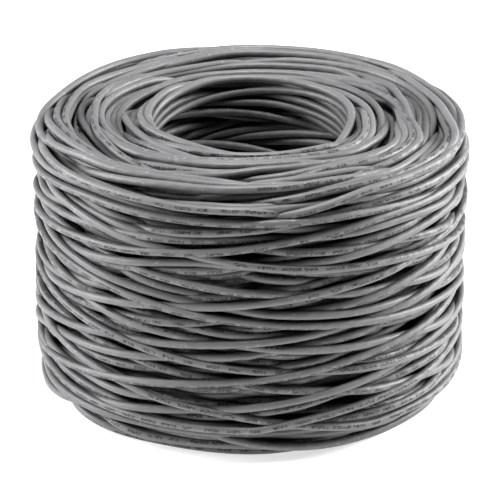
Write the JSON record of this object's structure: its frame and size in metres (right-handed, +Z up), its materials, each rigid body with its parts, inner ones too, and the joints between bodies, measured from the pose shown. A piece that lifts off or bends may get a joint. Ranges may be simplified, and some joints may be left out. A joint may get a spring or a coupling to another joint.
{
  "type": "network cable coil",
  "caption": "Bare cross-wound coil of round grey screened network cable, a thick hollow cylinder with rounded rims that stands on its flat end and pays out from its bore.",
  "frame": {"origin": "centre of the coil's lower end, on the surface it stands on", "axes": "+Z up along the axis of the coil's bore, -Y towards the coil's front; the outer cable end is at its back, on the +Y side"},
  "size_m": [0.3399, 0.34, 0.222],
  "materials": {
    "jacket": "satin",
    "foil": "bright rolled foil",
    "film": "thin clear film",
    "tinned_wire": "tinned",
    "copper": "bare cut copper",
    "rip_cord": "twisted fibre",
    "blue_insulation": "gloss",
    "white_blue_insulation": "gloss, striped",
    "orange_insulation": "gloss",
    "white_orange_insulation": "gloss, striped",
    "green_insulation": "gloss",
    "white_green_insulation": "gloss, striped",
    "brown_insulation": "gloss",
    "white_brown_insulation": "gloss, striped"
  },
  "bodies": {
    "root": {"winding_stretch_1": "jacket", "winding_stretch_2": "jacket", "winding_stretch_3": "jacket", "winding_stretch_4": "jacket", "winding_stretch_5": "jacket", "winding_stretch_6": "jacket", "outer_end_jacket": "jacket", "outer_end_foil_screen": "foil", "outer_end_polyester_wrap": "film", "outer_end_drain_wire": "tinned_wire", "outer_end_rip_cord": "rip_cord", "outer_end_blue_insulation": "blue_insulation", "outer_end_blue_copper": "copper", "outer_end_white_blue_insulation": "white_blue_insulation", "outer_end_white_blue_copper": "copper", "outer_end_orange_insulation": "orange_insulation", "outer_end_orange_copper": "copper", "outer_end_white_orange_insulation": "white_orange_insulation", "outer_end_white_orange_copper": "copper", "outer_end_green_insulation": "green_insulation", "outer_end_green_copper": "copper", "outer_end_white_green_insulation": "white_green_insulation", "outer_end_white_green_copper": "copper", "outer_end_brown_insulation": "brown_insulation", "outer_end_brown_copper": "copper", "outer_end_white_brown_insulation": "white_brown_insulation", "outer_end_white_brown_copper": "copper", "inner_end_jacket": "jacket", "inner_end_foil_screen": "foil", "inner_end_polyester_wrap": "film", "inner_end_drain_wire": "tinned_wire", "inner_end_rip_cord": "rip_cord", "inner_end_blue_insulation": "blue_insulation", "inner_end_blue_copper": "copper", "inner_end_white_blue_insulation": "white_blue_insulation", "inner_end_white_blue_copper": "copper", "inner_end_orange_insulation": "orange_insulation", "inner_end_orange_copper": "copper", "inner_end_white_orange_insulation": "white_orange_insulation", "inner_end_white_orange_copper": "copper", "inner_end_green_insulation": "green_insulation", "inner_end_green_copper": "copper", "inner_end_white_green_insulation": "white_green_insulation", "inner_end_white_green_copper": "copper", "inner_end_brown_insulation": "brown_insulation", "inner_end_brown_copper": "copper", "inner_end_white_brown_insulation": "white_brown_insulation", "inner_end_white_brown_copper": "copper"}
  },
  "joints": []
}
